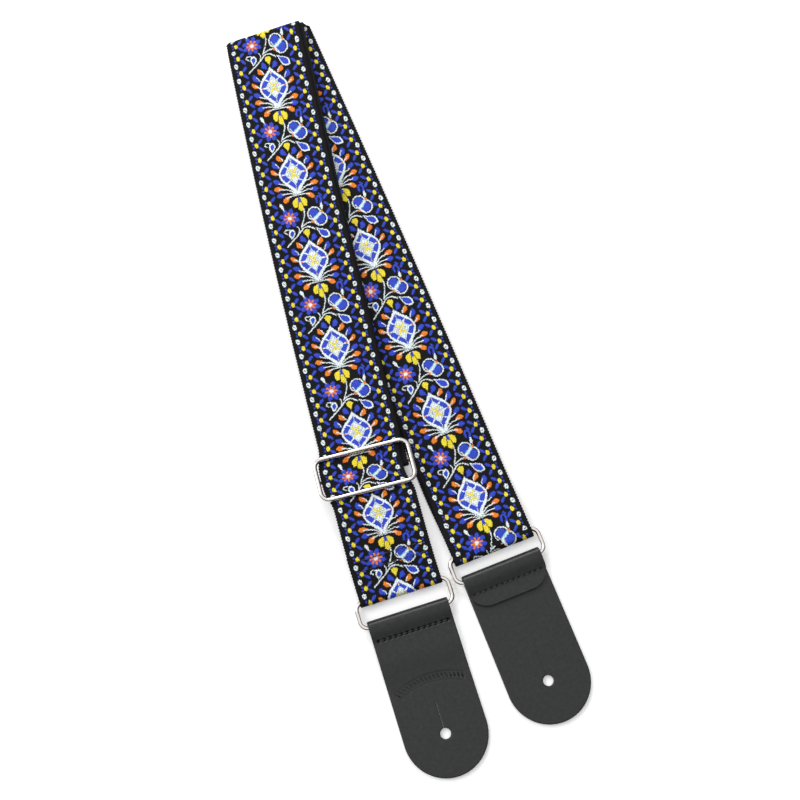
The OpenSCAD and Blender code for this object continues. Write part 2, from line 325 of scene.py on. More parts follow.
def webbing_face():
    """Jacquard face: yarn colours from the mesh, weft floats over a finely ribbed black ground."""
    m = Shader("webbing_face", specular=0.16)
    yarn = m.attribute("yarn").outputs["Color"]
    u, v, raised = m.split(m.attribute("cloth").outputs["Vector"])
    weft = m.wave(v, 0.62)
    warp = m.wave(u, 0.52)
    ground = m.scaled(m.math("MULTIPLY", weft, warp), 0.35, 0.3)
    floats = m.scaled(weft, 0.22, 0.8)
    height = m.math("ADD", m.math("MULTIPLY", floats, raised),
                    m.math("MULTIPLY", ground, m.scaled(raised, -1.0, 1.0)))
    fibre = m.noise(2600.0, detail=2.0)
    clump = m.noise(900.0, detail=2.0)
    shade = m.math("ADD", m.scaled(weft, 0.12, 0.85), m.scaled(fibre, 0.3, -0.15))
    shade = m.math("ADD", shade, m.scaled(clump, 0.36, -0.08))
    m.set("Base Color", m.mix(1.0, yarn, shade, "MULTIPLY"))
    m.set("Roughness", m.scaled(raised, -0.22, 0.78))
    uneven = m.math("ADD", height, m.scaled(fibre, 0.35))
    m.set("Normal", m.bump(uneven, 0.14, 0.8))
    return m.material


def webbing_back():
    """Plain black backing with lengthwise ribs and a fine cross weave."""
    m = Shader("webbing_back", roughness=0.75, specular=0.16)
    cloth = m.split(m.attribute("cloth").outputs["Vector"])
    rib = m.wave(cloth[0], 1.5)
    cross = m.wave(cloth[1], 0.8)
    fibre = m.noise(2200.0, detail=2.0)
    tone = m.math("ADD", m.scaled(rib, 0.25, 0.5), m.scaled(fibre, 0.5, -0.1))
    m.set("Base Color", m.mix(tone, (0.002, 0.002, 0.0025, 1), (0.015, 0.0145, 0.017, 1)))
    height = m.math("ADD", m.scaled(rib, 0.5, 0.5), m.scaled(m.math("MULTIPLY", cross, rib), 0.25))
    m.set("Normal", m.bump(m.math("ADD", height, m.scaled(fibre, 0.3)), 0.4, 1.0))
    return m.material


def nickel():
    m = Shader("nickel", metallic=1.0)
    cloud = m.noise(60.0, detail=4.0)
    fine = m.noise(900.0, detail=2.0)
    m.set("Base Color", m.mix(cloud, (0.66, 0.62, 0.59, 1), (0.84, 0.80, 0.77, 1)))
    m.set("Roughness", m.math("ADD", m.scaled(cloud, 0.07, 0.05), m.scaled(fine, 0.05)))
    m.set("Normal", m.bump(fine, 0.01, 0.25))
    return m.material


def leather():
    """Smooth finished black leather: fine pores, slight mottling, cut edges paler and rougher, and
    painted shade that darkens the stitch pits and the pressed border's grooves.
    """
    m = Shader("leather", specular=0.36)
    pores = m.node("ShaderNodeTexVoronoi", feature="SMOOTH_F1")
    m.feed(pores.inputs["Vector"], m.place())
    pores.inputs["Scale"].default_value = 1900.0
    pebble = pores.outputs["Distance"]
    mottle = m.noise(420.0, detail=6.0, rough=0.65)
    fuzz = m.noise(1500.0, detail=3.0)
    edge = m.attribute("edge").outputs["Fac"]
    pit_shade = m.attribute("pit_shade").outputs["Fac"]
    top = m.mix(mottle, (0.001, 0.0012, 0.0012, 1), (0.03, 0.0315, 0.0315, 1))
    # Painted shade: the colour goes almost black in the stitch pits and the pressed border's grooves,
    # where real shade would fall.
    top = m.mix(pit_shade, top, (0.001, 0.001, 0.001, 1))
    cut = m.mix(fuzz, (0.015, 0.015, 0.016, 1), (0.06, 0.062, 0.065, 1))
    m.set("Base Color", m.mix(edge, top, cut))
    rough = m.math("ADD", m.scaled(mottle, 0.3, 0.2), m.scaled(edge, 0.25))
    m.set("Roughness", rough)
    grain = m.math("ADD", pebble, m.scaled(fuzz, 0.35))
    m.set("Normal", m.bump(grain, 0.06, 0.8))
    return m.material


def thread():
    m = Shader("thread", roughness=0.5, sheen=0.1, specular=0.5)
    cloth = m.split(m.attribute("cloth").outputs["Vector"])
    twist = m.math("SINE", m.math("ADD", m.math("MULTIPLY", cloth[0], 9000.0), cloth[1]))
    tone = m.scaled(twist, 0.5, 0.5)
    m.set("Base Color", m.mix(tone, (0.006, 0.006, 0.007, 1), (0.03, 0.03, 0.032, 1)))
    m.set("Normal", m.bump(twist, 0.06, 0.7))
    return m.material


def floor_paper():
    """White sweep, lit a little from below as a light table is."""
    m = Shader("floor_paper", roughness=0.9, specular=0.2)
    fibre = m.noise(900.0, detail=2.0)
    m.set("Base Color", m.mix(fibre, grey(0.95), grey(0.97)))
    m.set("Emission Color", grey(1.0))
    m.set("Emission Strength", PAPER_GLOW)
    return m.material


# ---------------------------------------------------------------- the woven pattern
REPEAT = 58.4
BORDER_PITCH = REPEAT / 6
BLACK = (0.0062, 0.006, 0.0075)
BLUE = (0.035, 0.072, 0.60)
WHITE = (0.86, 0.95, 0.97)
CYAN = (0.40, 0.68, 0.80)
PALE_GREY = (0.30, 0.38, 0.42)
YELLOW = (0.92, 0.76, 0.045)
ORANGE = (0.90, 0.24, 0.02)
SOFT = 0.14
WEFT_PITCH = 0.5
WARP_PITCH = 0.55
YARN_LEAN = 0.17
YARN_SPREAD = 0.13
ROW_SPREAD = 0.06
BINDING_SHADE = 0.64


def sides(mirror):
    return (1, -1) if mirror else (1,)


class Cloth:
    """Paints yarn colours on points x, y of the pattern, y repeating every REPEAT."""

    def __init__(self, x, y):
        self.x = x
        self.y = y
        self.rgb = np.tile(np.array(BLACK), (len(x), 1))
        self.raised = np.zeros(len(x))

    def wrap(self, cy, period=REPEAT):
        return (self.y - cy + period / 2) % period - period / 2

    def turned(self, cx, cy, turn, period, side):
        """Distances along and across a shape at cx, cy that is turned by "turn" degrees."""
        a = math.radians(turn)
        dx = self.x * side - cx
        dy = self.wrap(cy, period)
        return dx * math.cos(a) + dy * math.sin(a), -dx * math.sin(a) + dy * math.cos(a)

    def lay(self, distance, colour):
        """Covers the points whose signed distance in mm to a shape's edge is negative."""
        cover = np.clip(0.5 - distance / SOFT, 0, 1)[:, None]
        self.rgb = self.rgb * (1 - cover) + np.array(colour) * cover
        up = 0.0 if colour is BLACK else 1.0
        self.raised = self.raised * (1 - cover[:, 0]) + up * cover[:, 0]

    def oval(self, cx, cy, rx, ry, turn, colour, period=REPEAT, mirror=False):
        for side in sides(mirror):
            p, q = self.turned(cx, cy, turn, period, side)
            self.lay((np.hypot(p / rx, q / ry) - 1) * min(rx, ry), colour)

    def bar(self, cx, cy, half_long, half_wide, turn, colour, period=REPEAT, mirror=False):
        for side in sides(mirror):
            p, q = self.turned(cx, cy, turn, period, side)
            self.lay(np.maximum(np.abs(p) - half_long, np.abs(q) - half_wide), colour)

    def leaf(self, base, tip, width, colour, bend=0.0, full=0.62, mirror=False):
        """Drop shape from a thin base to a round tip, fullest at the share "full" of its length."""
        middle = ((base[0] + tip[0]) / 2, (base[1] + tip[1]) / 2)
        along = np.array([tip[0] - base[0], tip[1] - base[1]])
        length = float(np.hypot(*along))
        ux, uy = along / length
        power = math.log(0.5) / math.log(full)
        for side in sides(mirror):
            dx = self.x * side - middle[0]
            dy = self.wrap(middle[1])
            t = (dx * ux + dy * uy) / length + 0.5
            c = np.clip(t, 0, 1)
            off = -dx * uy + dy * ux - bend * 4 * c * (1 - c)
            half = width / 2 * np.sin(math.pi * c ** power) ** 0.75
            beyond = np.maximum(np.abs(t - 0.5) - 0.5, 0) * length
            self.lay(np.abs(off) - half + beyond, colour)

    def stroke(self, points, width, colour, mirror=False):
        """Line of yarn through given points, rounded by a Catmull-Rom curve."""
        curve = rounded(np.array(points, float))
        cy = curve[:, 1].mean()
        for side in sides(mirror):
            dx = self.x * side
            dy = self.wrap(cy) + cy
            best = np.full(len(dx), FAR)
            for (ax, ay), (bx, by) in zip(curve[:-1], curve[1:]):
                ex, ey = bx - ax, by - ay
                t = np.clip(((dx - ax) * ex + (dy - ay) * ey) / max(ex * ex + ey * ey, TINY), 0, 1)
                best = np.minimum(best, np.hypot(dx - ax - t * ex, dy - ay - t * ey))
            self.lay(best - width / 2, colour)

    def ogee(self, half_w, top, bottom, colour):
        """Pointed medallion, hollow-sided towards both tips."""
        dy = self.wrap(0.0)
        reach = np.where(dy > 0, top, bottom)
        c = np.clip(np.abs(dy) / reach, 0, 1)
        half = half_w * (0.5 + 0.5 * np.cos(math.pi * c)) ** 0.8
        self.lay((np.abs(self.x) - half) * 0.85, colour)

    def lozenge(self, half_w, half_h, colour):
        slant = math.hypot(1 / half_w, 1 / half_h)
        dy = self.wrap(0.0)
        self.lay((np.abs(self.x) / half_w + np.abs(dy) / half_h - 1) / slant, colour)


def rounded(pts):
    """Catmull-Rom curve through points, five steps between each two."""
    ends = np.vstack([2 * pts[0] - pts[1], pts, 2 * pts[-1] - pts[-2]])
    curve = []
    for i in range(1, len(ends) - 2):
        p0, p1, p2, p3 = ends[i - 1:i + 3]
        for t in np.linspace(0, 1, 6)[:-1]:
            curve.append(0.5 * (2 * p1 + (p2 - p0) * t + (2 * p0 - 5 * p1 + 4 * p2 - p3) * t * t
                                + (3 * p1 - p0 - 3 * p2 + p3) * t ** 3))
    return np.array(curve + [pts[-1]])


def paint_border(c):
    """Both edges: crossed blue leaves, yellow dots and pale dashes."""
    half_pitch = BORDER_PITCH / 2
    for side in (1, -1):
        c.oval(side * 16.6, 0.4, 2.15, 0.9, 46 * side, BLUE, BORDER_PITCH)
        c.oval(side * 16.6, 0.4 + half_pitch, 2.15, 0.9, -46 * side, BLUE, BORDER_PITCH)
        c.oval(side * 19.4, 3.0, 1.15, 1.6, 0, YELLOW, BORDER_PITCH)
        c.oval(side * 21.5, 2.0, 0.6, 0.7, 0, BLUE, BORDER_PITCH)
        c.oval(side * 21.5, 4.3, 0.6, 0.7, 0, BLUE, BORDER_PITCH)
        c.oval(side * 21.7, 3.0 + half_pitch, 1.25, 1.75, 0, WHITE, BORDER_PITCH)
        c.bar(side * 21.7, 3.0 + half_pitch, 0.8, 0.24, 40 * side, BLACK, BORDER_PITCH)


def paint_medallion(c):
    c.ogee(9.5, 14.8, 16.2, WHITE)
    # Blue ring cut into eight by pale spokes
    c.ogee(8.5, 11.8, 12.6, BLUE)
    c.bar(4.5, 5.3, 2.4, 0.36, 38, WHITE, mirror=True)
    c.bar(4.5, -5.3, 2.4, 0.36, -38, WHITE, mirror=True)
    c.bar(7.2, 0, 1.8, 0.4, 0, WHITE, mirror=True)
    c.bar(0, 9.6, 0.4, 2.4, 0, WHITE)
    c.bar(0, -9.9, 0.4, 2.6, 0, WHITE)
    # White lozenge with a fine diagonal lattice and a yellow cross
    c.lozenge(5.9, 7.9, WHITE)
    c.lozenge(5.3, 7.1, PALE_GREY)
    c.lozenge(5.0, 6.7, WHITE)
    slope = 53
    for k in range(-2, 3):
        for turn in (slope, -slope):
            c.bar(k * 1.55, 0, 5.0 - 1.5 * abs(k), 0.16, turn, PALE_GREY)
    c.bar(1.45, 1.95, 1.9, 0.6, slope, YELLOW, mirror=True)
    c.bar(1.45, -1.95, 1.9, 0.6, -slope, YELLOW, mirror=True)
    c.oval(0, 9.2, 0.55, 0.75, 0, YELLOW)
    c.oval(0, -9.7, 0.55, 0.75, 0, YELLOW)
    c.oval(7.9, 0, 0.6, 0.55, 0, ORANGE, mirror=True)


def paint_crown(c):
    """Trumpet and comma leaves round the medallion's upper half."""
    c.leaf((0, 13.4), (0, 20.8), 4.6, YELLOW, full=0.75)
    c.stroke([(0, 15.6), (0, 17.4)], 0.39, WHITE)
    c.leaf((1.5, 12.4), (4.7, 17.0), 3.3, BLUE, bend=-0.8, mirror=True)
    c.leaf((4.4, 8.9), (8.3, 13.4), 2.8, ORANGE, bend=-0.8, mirror=True)
    c.stroke([(4.9, 9.2), (5.5, 10.9), (6.6, 12.0)], 0.52, WHITE, mirror=True)
    c.leaf((7.9, 4.6), (11.9, 10.0), 3.4, BLUE, bend=-0.9, mirror=True)
    c.stroke([(8.5, 5.2), (9.2, 7.0), (10.3, 8.0)], 0.52, WHITE, mirror=True)
    c.leaf((9.4, 0.6), (14.0, 4.4), 2.7, ORANGE, bend=-0.4, mirror=True)
    c.stroke([(9.0, 0.2), (10.6, 1.6), (12.2, 2.6)], 0.52, WHITE, mirror=True)


def paint_fan(c):
    """Plumes on pale stems below the medallion, and the yellow blossom at its foot."""
    plumes = (
        ((9.0, -5.2), (14.2, -2.4), 3.0, BLUE),
        ((8.8, -8.8), (14.6, -8.2), 3.2, ORANGE),
        ((8.0, -12.2), (13.8, -13.2), 3.2, BLUE),
        ((5.6, -14.2), (10.2, -18.0), 3.2, ORANGE),
    )
    for base, tip, width, colour in plumes:
        c.leaf(base, tip, width, colour, full=0.6, mirror=True)
    c.stroke([(1.6, -12.4), (5.6, -7.4), (10.6, -5.2)], 0.56, WHITE, mirror=True)
    c.stroke([(1.5, -13.2), (5.6, -10.2), (11.2, -8.9)], 0.65, WHITE, mirror=True)
    c.stroke([(1.4, -14.0), (5.2, -12.6), (10.0, -12.4)], 0.56, WHITE, mirror=True)
    c.stroke([(1.2, -14.8), (4.2, -14.6), (7.6, -15.6)], 0.65, WHITE, mirror=True)
    c.leaf((0.2, -16.2), (4.0, -22.6), 4.4, YELLOW, bend=0.5, full=0.55, mirror=True)
    c.leaf((0, -16.6), (0, -25.6), 4.6, YELLOW, full=0.62)
    c.stroke([(1.3, -19.0), (2.2, -23.8)], 0.5, BLACK, mirror=True)
    c.oval(0, -17.9, 1.35, 1.9, 0, BLUE)


def paint_sprig(c):
    """Curving stem with a star flower, a round bud and small leaves between two medallions."""
    c.stroke([(1.6, -24.4), (1.2, -28.4), (-1.4, -33.0), (-3.0, -36.2)], 0.6, WHITE)
    c.stroke([(5.6, -38.8), (2.4, -36.6), (-1.6, -36.6), (-6.0, -40.4), (-14.2, -46.6)], 0.69, WHITE)
    c.stroke([(-5.4, -39.6), (-4.6, -36.6), (-5.4, -34.8)], 0.47, WHITE)
    c.stroke([(-2.6, -35.4), (0.8, -34.2), (4.4, -33.6)], 0.6, WHITE)
    petals = 8
    for k in range(petals):
        a = 2 * math.pi * (k + 0.5) / petals
        base = (-9.0 + 1.6 * math.cos(a), -28.6 + 1.6 * math.sin(a))
        tip = (-9.0 + 6.6 * math.cos(a), -28.6 + 6.6 * math.sin(a))
        c.leaf(base, tip, 2.9, BLUE, full=0.62)
    for k in range(petals):
        a = 2 * math.pi * k / petals
        inner = (-9.0 + 1.0 * math.cos(a), -28.6 + 1.0 * math.sin(a))
        outer = (-9.0 + 3.4 * math.cos(a), -28.6 + 3.4 * math.sin(a))
        c.stroke([inner, outer], 1.1, ORANGE)
    c.oval(-9.0, -28.6, 1.2, 1.2, 0, WHITE)
    c.oval(7.4, -28.7, 4.6, 4.3, 38, WHITE)
    c.oval(10.6, -33.0, 4.6, 4.3, 38, WHITE)
    c.oval(7.4, -28.7, 3.9, 3.6, 38, BLACK)
    c.oval(10.6, -33.0, 3.9, 3.6, 38, BLACK)
    c.oval(7.2, -28.4, 3.1, 2.8, 38, BLUE)
    c.oval(10.8, -33.2, 3.1, 2.8, 38, BLUE)
    c.bar(9.0, -30.9, 3.9, 1.1, 38, CYAN)
    c.bar(9.0, -30.9, 3.2, 0.45, 38, WHITE)
    c.stroke([(4.4, -29.4), (6.2, -32.6), (8.6, -36.0)], 0.52, WHITE)
    c.oval(5.6, -34.0, 0.85, 0.85, 0, ORANGE)
    c.oval(12.4, -28.4, 0.85, 0.85, 0, ORANGE)
    c.leaf((6.2, -38.0), (13.8, -45.6), 5.4, WHITE, full=0.66)
    c.leaf((7.2, -39.0), (13.0, -44.8), 3.9, BLUE, full=0.64)
    c.leaf((-10.6, -42.6), (-9.0, -36.0), 4.0, WHITE, full=0.6)
    c.leaf((-10.3, -41.4), (-9.1, -37.0), 2.5, BLUE, full=0.6)
    c.stroke([(-10.2, -36.4), (-12.6, -35.6), (-14.2, -37.0), (-12.8, -38.4)], 0.56, WHITE)
    c.leaf((-10.8, -24.2), (-13.0, -18.2), 2.0, WHITE, full=0.75)
    c.stroke([(10.8, -21.6), (11.2, -18.6), (13.2, -18.2), (13.8, -20.6), (12.8, -23.2)], 1.3, BLUE)
    c.stroke([(13.4, -16.4), (14.4, -17.6)], 1.1, BLUE)
    c.leaf((12.6, -27.0), (13.4, -22.6), 1.7, WHITE, full=0.4)


def hashed(n, seed):
    """Repeatable value between -1 and 1 for each whole number."""
    return 2 * np.modf(np.abs(np.sin(n * 12.9898 + seed) * 43758.5453))[0] - 1


def woven(x, y):
    """Colours of the face; every weft and warp thread lies a little off, so outlines are ragged."""
    weft = np.floor(y / WEFT_PITCH)
    warp = np.floor(x / WARP_PITCH)
    c = Cloth(x + YARN_LEAN * hashed(weft, 1.0), y + YARN_LEAN * hashed(warp, 7.0))
    paint_border(c)
    paint_sprig(c)
    paint_fan(c)
    paint_crown(c)
    paint_medallion(c)
    return c.rgb, c.raised


def woven_cells(xs, v):
    """One colour for each crossing of warp and weft, with the darker binding points of a satin."""
    x_mid = (xs[1:] + xs[:-1]) / 2
    v_mid = (v[1:] + v[:-1]) / 2
    x = np.tile(x_mid, (len(v_mid), 1))
    y = np.tile(v_mid[:, None], (1, len(x_mid)))
    rgb, up = woven(x.ravel(), y.ravel())
    row, column = np.meshgrid(np.arange(len(v_mid)), np.arange(len(x_mid)), indexing="ij")
    number = (row * len(x_mid) + column).ravel()
    shade = 1 + YARN_SPREAD * hashed(number, 3.0) + ROW_SPREAD * hashed(row.ravel(), 5.0)
    bound = ((row * 2 + column) % 5 == 0).ravel() & (up > 0.5)
    shade = np.where(bound, BINDING_SHADE * shade, shade)
    return (rgb * shade[:, None]).reshape(*row.shape, 3), up.reshape(row.shape)


# Where the pattern's repeats fall on the two legs: medallion number as a function of the distance
# from the leg's ring. The first medallion's place, the first repeat and how much each one gains.
FRONT_REPEATS = (47.1, 52.5, 1.2)
RETURN_REPEATS = (30.7, 56.3, 0.57)
# Webbing that the wave over the slider's bar takes up, from this far below the bar
TAKE_UP = 2.3
TAKE_UP_FROM = 14
TAKE_UP_OVER = 22


def repeats(s, law):
    first, length, gain = law
    return (-length + np.sqrt(length ** 2 + 4 * gain * (s - first))) / (2 * gain)


def front_law(s):
    return repeats(s + TAKE_UP * smooth((s - SLIDER_AT + TAKE_UP_FROM) / TAKE_UP_OVER), FRONT_REPEATS)


def return_law(s):
    return repeats(s, RETURN_REPEATS)


# ---------------------------------------------------------------- ribbons of webbing
FACE_COLUMNS = 108
BACK_COLUMNS = 12
ROW_STEP = 0.53
LOWER_ROW_STEP = 0.8
UNDER_ROWS = 345
UNDER_EASE = 12
FOLD_STUB = 2.0
RING_MID_R = BORE_R + WEB_T / 2
# How far the slider pushes the webbing aside, and over what distance
SWAY = 3.1
SWAY_REACH = 13.5
REAR_SLACK = 2.2
EDGE_ANGLES = (50, 0, -50)
SELVEDGE_R = 0.62
FLAT_HALF = WEB_W / 2 - SELVEDGE_R
FACE_SINK = 0.1
BACK_SINK = 0.03
RELIEF = 0.13
TOOTH_PITCH = 1.9
TOOTH = 0.27


class Path:
    """Centre line of a ribbon: points, unit vectors across and out of the face, and pattern repeats."""

    def __init__(self, points, side, out, repeat):
        self.points = points
        self.side = side
        self.out = out
        self.repeat = repeat

    def join(self, other):
        return Path(*(np.concatenate([getattr(self, k), getattr(other, k)[1:]])
                      for k in ("points", "side", "out", "repeat")))


def add_attribute(mesh, name, kind, values, domain="POINT"):
    field = "color" if kind == "FLOAT_COLOR" else "vector" if kind == "FLOAT_VECTOR" else "value"
    made = mesh.attributes.new(name, kind, domain)
    made.data.foreach_set(field, np.ascontiguousarray(values, dtype=np.float32).ravel())


def build_mesh(name, points, faces, materials, face_material=None, sharp_angle=60):
    mesh = bpy.data.meshes.new(name)
    mesh.from_pydata((points * MM).tolist(), [], faces)
    mesh.validate()
    for material in materials:
        mesh.materials.append(material)
    if face_material is not None:
        mesh.polygons.foreach_set("material_index", face_material)
    bm = bmesh.new()
    bm.from_mesh(mesh)
    bmesh.ops.recalc_face_normals(bm, faces=bm.faces)
    bm.to_mesh(mesh)
    bm.free()
    mesh.shade_smooth()
    mesh.set_sharp_from_angle(angle=math.radians(sharp_angle))
    piece = bpy.data.objects.new(name, mesh)
    link(piece)
    return piece


def stand_for(piece, node, body):
    """The piece hides a CAD node and moves with its body."""
    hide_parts(node)
    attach(piece, body)


def grid_faces(rows, columns, closed):
    """Quads of a grid numbered row by row, closed round the columns if asked."""
    span = columns if closed else columns - 1
    i, k = np.meshgrid(np.arange(rows - 1), np.arange(span), indexing="ij")
    a = i * columns + k
    b = i * columns + (k + 1) % columns
    return np.stack([a, b, b + columns, a + columns], -1).reshape(-1, 4)


def end_caps(rows, columns):
    """The first and the last row of a closed grid, each as one face."""
    return [list(range(columns))[::-1], list(range((rows - 1) * columns, rows * columns))]


def section(columns):
    """Outline of the webbing's section: face, one selvedge, back, the other selvedge."""
    edge = np.radians(EDGE_ANGLES)
    half_t = WEB_T / 2 - FACE_SINK
    round_x = FLAT_HALF + SELVEDGE_R * np.cos(edge)
    round_h = half_t * np.sin(edge)
    face = np.linspace(-FLAT_HALF, FLAT_HALF, columns)
    back = np.linspace(FLAT_HALF, -FLAT_HALF, BACK_COLUMNS)
    xs = np.concatenate([face, round_x, back, -round_x[::-1]])
    face_h = np.full(columns, half_t)
    back_h = np.full(BACK_COLUMNS, BACK_SINK - WEB_T / 2)
    return xs, np.concatenate([face_h, round_h, back_h, round_h[::-1]])


def ribbon(name, path, pattern_side=1, columns=FACE_COLUMNS, clear_frames=()):
    """Closed webbing shell. The woven face lies on the side "out" (1) or the other (-1)."""
    xs, hs = section(columns)
    rows = len(path.points)
    count = len(xs)
    v_rows = path.repeat * REPEAT
    x = np.tile(xs, (rows, 1))
    v = np.tile(v_rows[:, None], (1, count))
    cell_rgb, cell_up = woven_cells(xs[:columns], v_rows)
    padded = np.pad(cell_up, 1, mode="edge")
    raised = np.zeros((rows, count))
    raised[:, :columns] = (padded[1:, 1:] + padded[:-1, 1:] + padded[1:, :-1] + padded[:-1, :-1]) / 4
    h = np.tile(hs, (rows, 1)) + RELIEF * raised
    tooth = TOOTH * np.sin(2 * math.pi * v / TOOTH_PITCH) * smooth((np.abs(x) - FLAT_HALF + 0.5) / 0.6)
    x = x + np.sign(x) * (tooth - TOOTH)
    out = path.out[:, None, :] * pattern_side
    points = path.points[:, None, :] + path.side[:, None, :] * x[..., None] + out * h[..., None]
    points = points.reshape(-1, 3)
    for place in clear_frames:
        points = to_world(clear_of_bar(to_local(points, place), 0.0), place)
    column = np.tile(np.arange(count), rows - 1)
    is_back = (column >= columns + len(EDGE_ANGLES) - 1) & (column < count - len(EDGE_ANGLES))
    material = np.concatenate([is_back.astype(np.int32), np.ones(2, np.int32)])
    faces = grid_faces(rows, count, True).tolist() + end_caps(rows, count)
    piece = build_mesh(name, points, faces, [WEB_FACE, WEB_BACK], material)
    dye(piece.data, cell_rgb, rows, columns, count)
    cloth = np.stack([x.ravel() * MM, v.ravel() * MM, raised.ravel()], -1)
    add_attribute(piece.data, "cloth", "FLOAT_VECTOR", cloth)
    return piece


def dye(mesh, cell_rgb, rows, columns, count):
    """Stores each woven cell's colour on its own face; the selvedges, back and ends are black."""
    rgb = np.tile(np.array(BLACK), (rows - 1, count, 1))
    rgb[:, :columns - 1] = cell_rgb
    cells = np.concatenate([rgb.reshape(-1, 3), np.tile(np.array(BLACK), (2, 1))])
    cells = np.concatenate([cells, np.ones((len(cells), 1))], 1)
    corners = np.zeros(len(mesh.polygons), dtype=np.int32)
    mesh.polygons.foreach_get("loop_total", corners)
    add_attribute(mesh, "yarn", "FLOAT_COLOR", np.repeat(cells, corners, axis=0), "CORNER")


def flare(x):
    """Radius that the webbing or leather keeps from a ring's bar, where the wire bends away."""
    flat = (RING_IN_W / 2 + WIRE_R) - RING_CORNER_R
    reach = RING_CORNER_R - BORE_R
    past = np.clip(np.abs(x) - flat, 0, reach - 0.05)
    return RING_CORNER_R - np.sqrt(reach ** 2 - past ** 2)


def to_local(points, place):
    rel = points - np.array([place[0], place[1], 0.0])
    return np.stack([rel @ across(place[2]), rel @ forward(place[2]), rel[:, 2]], -1)


def to_world(local, place):
    world = local[:, :1] * across(place[2]) + local[:, 1:2] * forward(place[2])
    world[:, 2] += local[:, 2]
    world[:, :2] += np.array(place[:2])
    return world


def clear_of_bar(local, bar_y):
    """Pushes the inner faces out to where a ring's bar and bent corners can turn."""
    y = local[:, 1] - bar_y
    z = local[:, 2] - BAR_Z
    reach = np.hypot(y, z)
    need = flare(local[:, 0])
    push = np.where((reach < need) & (reach > TINY), need / np.maximum(reach, TINY), 1.0)
    local[:, 1] = y * push + bar_y
    local[:, 2] = z * push + BAR_Z
    return local


FRONT_FRAME = (FRONT_BAR[0], FRONT_BAR[1], 0.0)
REAR_FRAME = (REAR_BAR[0], REAR_BAR[1], REAR_HEADING)


def faced_path(points, side, repeat):
    """Path whose outward direction is square to its own line and to the across vectors."""
    out = np.cross(side, np.gradient(points, axis=0))
    out /= np.linalg.norm(out, axis=1)[:, None]
    return Path(points, side, out, repeat)


def leg_path(start, heading, length, low, offset, step, law, first=0.0):
    s = np.linspace(first, length, int(round((length - first) / step)) + 1)
    points = centre_line(start, heading, np.append(s, length))[:-1]
    side = across(heading(s))
    points = points + side * np.asarray(offset(s))[:, None]
    points[:, 2] = low(s) + WEB_T / 2
    return faced_path(points, side, law(s))


def place_path(local, place, repeat):
    """Path from (distance up the leg, z) pairs in a ring's or the slider's frame."""
    yz = np.array(local)
    side = np.tile(across(place[2]), (len(yz), 1))
    flat = np.concatenate([np.zeros((len(yz), 1)), yz], 1)
    return faced_path(to_world(flat, place), side, np.asarray(repeat, float))


def arc_lengths(yz):
    steps = np.hypot(*np.diff(np.array(yz), axis=0).T)
    return np.concatenate([[0], np.cumsum(steps)])


# The fold's line runs a little askew, and the webbing narrows where it bends sharply
FOLD_SKEW = math.radians(7.0)
SKEW_FROM = 16.0
FOLD_PINCH = 0.05
FOLD_REACH = 0.7


def lean_end(side, distance):
    """Turns the across vectors near the fold, where "distance" to it is short."""
    angle = FOLD_SKEW * (1 - smooth(distance / SKEW_FROM))[:, None]
    ahead = np.stack([-side[:, 1], side[:, 0], side[:, 2]], -1)
    return side * np.cos(angle) + ahead * np.sin(angle)


def turn_path(top, low, repeat_top, repeat_low, steps=22):
    """Half turn at the fold from the end of a lower layer to the end of an upper one."""
    r = (top[0][2] - low[0][2]) / 2
    a = np.radians(np.linspace(-90, 90, steps + 1))
    u = np.linspace(0, 1, steps + 1)[:, None]
    base = mix(low[0], top[0], u)
    side = mix(low[1], top[1], u)
    side /= np.linalg.norm(side, axis=1)[:, None]
    ahead = np.stack([-side[:, 1], side[:, 0], np.zeros(steps + 1)], -1)
    points = base + FOLD_REACH * r * np.cos(a)[:, None] * ahead
    points[:, 2] = mix(low[0][2], top[0][2], 0.5) + r * np.sin(a)
    out = np.cos(a)[:, None] * ahead + np.sin(a)[:, None] * np.array([0, 0, 1.0])
    side = side * (1 - FOLD_PINCH * np.cos(a)[:, None])
    return Path(points, side, out, mix(repeat_low, repeat_top, u[:, 0])), r * math.pi


def zero(s):
    return np.zeros_like(s)


def rear_offset(s):
    return REAR_OFFSET * smooth(s / SETTLE)


def under_low(s):
    return np.full_like(s, UNDER_Z)


def slider_sway(s):
    """The slider pushes the webbing in it a little to the left."""
    return -SWAY * np.exp(-((s - SLIDER_AT) / SWAY_REACH) ** 4)


def loop_profile(bar_z, mid_r, slack=0.0, steps=14):
    """Half turn round a bar, from its lower side to its upper side, on the side away from the leg.

    With slack the turn hangs that much further from the bar.
    """
    a = np.radians(np.linspace(-90, -270, steps + 1))
    turn = [(mid_r * math.cos(t) - slack, bar_z + mid_r * math.sin(t)) for t in a]
    if slack:
        turn = [(0.0, turn[0][1])] + turn + [(0.0, turn[-1][1])]
    return turn


def hem_profile(start_low, top_low, steps=27):
    s = np.linspace(HEM_LEN, 0, steps + 1)
    low = mix(start_low, top_low(s) - HEM_GAP - WEB_T, smooth(s / HEM_RISE))
    return list(zip(s, low + WEB_T / 2))


def web(name, path, length, held, nodes, **options):
    """Ribbon that stands for CAD nodes."""
    piece = ribbon(name, path, **options)
    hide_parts(*nodes)
    return piece


